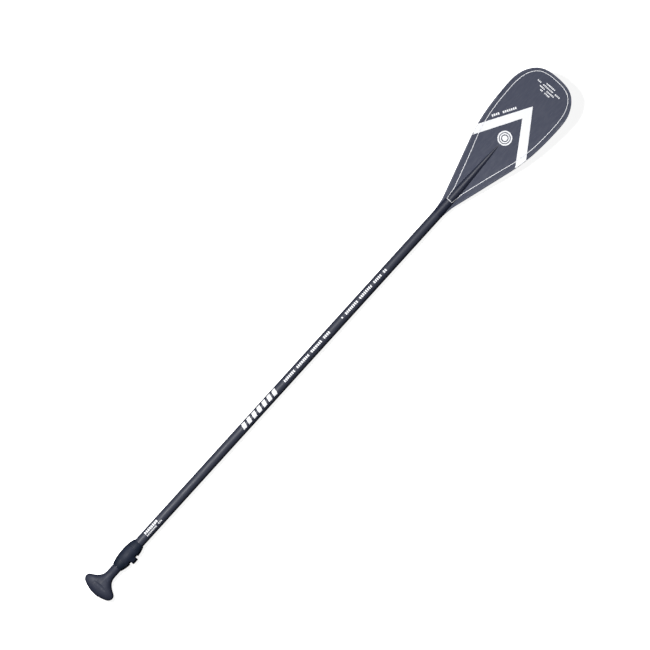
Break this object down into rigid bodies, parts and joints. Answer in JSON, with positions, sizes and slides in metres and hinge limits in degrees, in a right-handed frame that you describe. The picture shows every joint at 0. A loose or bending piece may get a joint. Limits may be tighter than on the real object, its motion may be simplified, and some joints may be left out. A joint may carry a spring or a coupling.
{
  "type": "single blade paddle",
  "caption": "Adjustable stand-up paddle: teardrop blade with a tapering spine, slim round shaft, lever clamp and sliding extension tube with a palm grip.",
  "frame": {"origin": "middle of the length and width, on the surface that the paddle lies on", "axes": "+X along the shaft towards the blade's tip, +Y across the blade, +Z out of the blade's ribbed front face"},
  "size_m": [1.9001, 0.1902, 0.0873],
  "materials": {
    "shaft_composite": "gloss",
    "blade_composite": "satin",
    "edge_plastic": "satin",
    "clamp_nylon": "matte",
    "lever_nylon": "satin",
    "grip_plastic": "satin",
    "tube_composite": "satin",
    "foam": "matte",
    "hard_plastic": "matte",
    "seal_rubber": "matte",
    "steel": "satin",
    "brass": "satin"
  },
  "bodies": {
    "shaft": {"main_shaft": "shaft_composite", "anti_twist_key": "brass", "shaft_plug": "foam", "clamp_body": "clamp_nylon", "lever_pivot_pin": "brass", "clamp_bolt": "steel", "bolt_washer": "steel", "cam_pad": "steel", "wiper_ring": "seal_rubber", "blade_spine": "blade_composite", "spine_core": "foam", "blade_front_skin": "blade_composite", "blade_back_skin": "blade_composite", "blade_core": "foam", "blade_edge_rail": "edge_plastic"},
    "extension": {"extension_tube": "tube_composite", "extension_end_bush": "hard_plastic", "bush_seal": "seal_rubber", "grip_front_shell": "grip_plastic", "grip_back_shell": "grip_plastic", "grip_insert": "hard_plastic"},
    "lever": {"clamp_lever": "lever_nylon"}
  },
  "joints": [
    {"name": "extension_slide", "type": "slide", "parent": "shaft", "child": "extension", "axis": [-1, 0, 0], "range_m": [0, 0.3]},
    {"name": "lever_open", "type": "hinge", "parent": "shaft", "child": "lever", "pos_m": [-0.8095, -0.0215, 0.0275], "axis": [1, 0, 0], "range_deg": [0, 120]}
  ]
}
